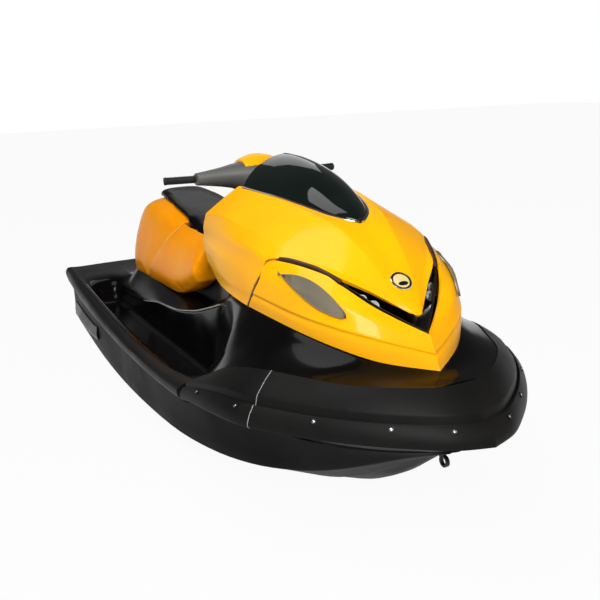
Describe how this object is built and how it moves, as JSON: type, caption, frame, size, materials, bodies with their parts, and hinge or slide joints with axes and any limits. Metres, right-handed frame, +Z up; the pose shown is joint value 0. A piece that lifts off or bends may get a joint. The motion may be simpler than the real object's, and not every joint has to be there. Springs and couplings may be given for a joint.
{
  "type": "personal watercraft",
  "caption": "Sit-down personal watercraft: lifting hood over a storage bin, turning bars, padded seat, jet pump with steering nozzle and reverse bucket.",
  "frame": {"origin": "bottom centre of the bounding box, on the floor under the flat keel pad", "axes": "+X to the bow, +Y to port, +Z up"},
  "size_m": [3.3, 1.1798, 1.1401],
  "materials": {
    "hull_gelcoat": "black moulded hull, satin gloss",
    "deck_gelcoat": "gloss black",
    "bumper_plastic": "matt dark grey moulding",
    "yellow_paint": "gloss yellow-orange paint with clear coat",
    "black_plastic": "satin black moulding",
    "lamp_lens": "clear lens",
    "vent_mesh": "grey mesh",
    "tinted_screen": "dark green tint, gloss",
    "bright_trim": "bright plated",
    "steel": "satin",
    "grip_rubber": "ribbed",
    "grey_plastic": "satin grey moulding",
    "orange_vinyl": "smooth vinyl",
    "black_vinyl": "gloss vinyl",
    "cast_aluminium": "satin casting",
    "engine_block": "plain block"
  },
  "bodies": {
    "craft": {"hull": "hull_gelcoat", "deck": "deck_gelcoat", "bow_bumper": "bumper_plastic", "side_bumper_starboard": "bumper_plastic", "side_bumper_port": "bumper_plastic", "cowl": "yellow_paint", "nose_vent": "black_plastic", "headlight_starboard": "lamp_lens", "headlight_port": "lamp_lens", "side_vent_starboard": "vent_mesh", "side_vent_port": "vent_mesh", "hood_hinge": "steel", "storage_bin": "black_plastic", "steering_console": "black_plastic", "passenger_seat": "orange_vinyl", "seat_rear_trim": "black_vinyl", "driver_seat": "black_vinyl", "seat_panel_starboard": "orange_vinyl", "seat_panel_port": "orange_vinyl", "seat_base": "black_plastic", "pump_housing": "cast_aluminium", "ride_plate": "cast_aluminium", "intake_grate": "cast_aluminium", "engine": "engine_block", "bow_eye": "steel", "stern_eye_starboard": "steel", "stern_eye_port": "steel", "sponson_starboard": "bumper_plastic", "sponson_port": "bumper_plastic"},
    "hood": {"hood": "yellow_paint", "hinge_lugs": "steel", "windshield": "tinted_screen", "badge": "bright_trim"},
    "handlebars": {"steering_column": "steel", "handlebar_tube": "steel", "handlebar_cover": "grey_plastic", "handlebar_cap": "yellow_paint", "grip_starboard": "grip_rubber", "grip_port": "grip_rubber"},
    "nozzle": {"steering_nozzle": "cast_aluminium"},
    "bucket": {"reverse_bucket": "cast_aluminium"},
    "rotor": {"impeller": "steel"}
  },
  "joints": [
    {"name": "hood_lift", "type": "hinge", "parent": "craft", "child": "hood", "pos_m": [1.265, 0, 0.684], "axis": [0, 1, 0], "range_deg": [0, 55]},
    {"name": "steering", "type": "hinge", "parent": "craft", "child": "handlebars", "pos_m": [0.26, 0, 0.93], "axis": [-0.4695, 0, 0.8829], "range_deg": [-25, 25]},
    {"name": "nozzle_turn", "type": "hinge", "parent": "craft", "child": "nozzle", "pos_m": [-1.5, 0, 0.118], "axis": [0, 0, 1], "range_deg": [-20, 20]},
    {"name": "bucket_drop", "type": "hinge", "parent": "craft", "child": "bucket", "pos_m": [-1.545, 0, 0.118], "axis": [0, 1, 0], "range_deg": [-75, 0]},
    {"name": "impeller_spin", "type": "hinge", "parent": "craft", "child": "rotor", "pos_m": [-1.3, 0, 0.118], "axis": [1, 0, 0], "continuous": true}
  ],
  "couplings": [
    {"joint": "nozzle_turn", "follows": "steering", "ratio": -0.8}
  ]
}
